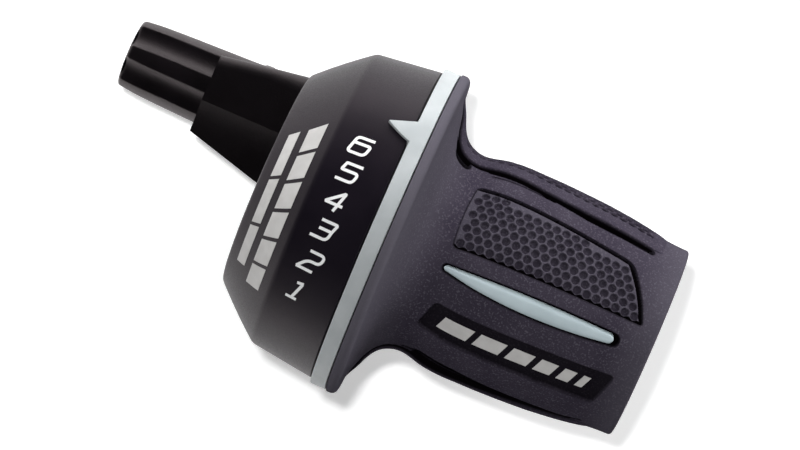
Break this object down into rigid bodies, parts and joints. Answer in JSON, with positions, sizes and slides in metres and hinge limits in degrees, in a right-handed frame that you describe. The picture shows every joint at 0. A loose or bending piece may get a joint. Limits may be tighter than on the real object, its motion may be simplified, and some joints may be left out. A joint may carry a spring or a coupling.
{
  "type": "twist grip shifter",
  "caption": "Right-hand bicycle twist grip shifter: a rubber grip with pointer ring turns beside a dial housing with bar clamp and cable adjuster.",
  "frame": {"origin": "on the handlebar axis, in the plane where the indicator ring meets the rubber flange", "axes": "+X along the handlebar, outboard towards the free end of the grip; +Z out of the middle of the dial; +Y forwards over the dial"},
  "size_m": [0.0963, 0.0548, 0.0548],
  "materials": {
    "housing_plastic": "fine moulded grain, black",
    "cover_plastic": "satin dark grey",
    "adjuster_plastic": "satin black",
    "spool_plastic": "smooth black",
    "ring_plastic": "satin pale grey",
    "inlay_plastic": "smooth pale blue grey",
    "grip_rubber": "speckled dark grey rubber",
    "screw_steel": "zinc plated",
    "spring_steel": "bright spring steel",
    "insert_brass": "machined brass"
  },
  "bodies": {
    "housing": {"housing": "housing_plastic", "dial_cover": "cover_plastic", "cover_screws": "screw_steel", "clamp_screw": "screw_steel", "clamp_insert": "insert_brass", "detent_spring": "spring_steel"},
    "grip": {"cable_spool": "spool_plastic", "indicator_ring": "ring_plastic", "grip_rubber": "grip_rubber", "grip_inlay": "inlay_plastic"},
    "adjuster_spring": {"adjuster_spring": "spring_steel"},
    "barrel_adjuster": {"barrel_adjuster": "adjuster_plastic"}
  },
  "joints": [
    {"name": "grip_turn", "type": "hinge", "parent": "housing", "child": "grip", "pos_m": [0, 0, 0], "axis": [1, 0, 0], "range_deg": [0, 73.2], "deforming": ["detent_spring"]},
    {"name": "adjuster_travel", "type": "slide", "parent": "housing", "child": "adjuster_spring", "axis": [-1, 0, 0], "range_m": [0, 0.004], "deforming": ["adjuster_spring"]},
    {"name": "adjuster_turn", "type": "hinge", "parent": "adjuster_spring", "child": "barrel_adjuster", "pos_m": [-0.0479, 0.00995, -0.01775], "axis": [-1, 0, 0], "range_deg": [0, 1440]}
  ],
  "couplings": [
    {"joint": "adjuster_turn", "follows": "adjuster_travel", "rad_per_m": 6283.2}
  ]
}
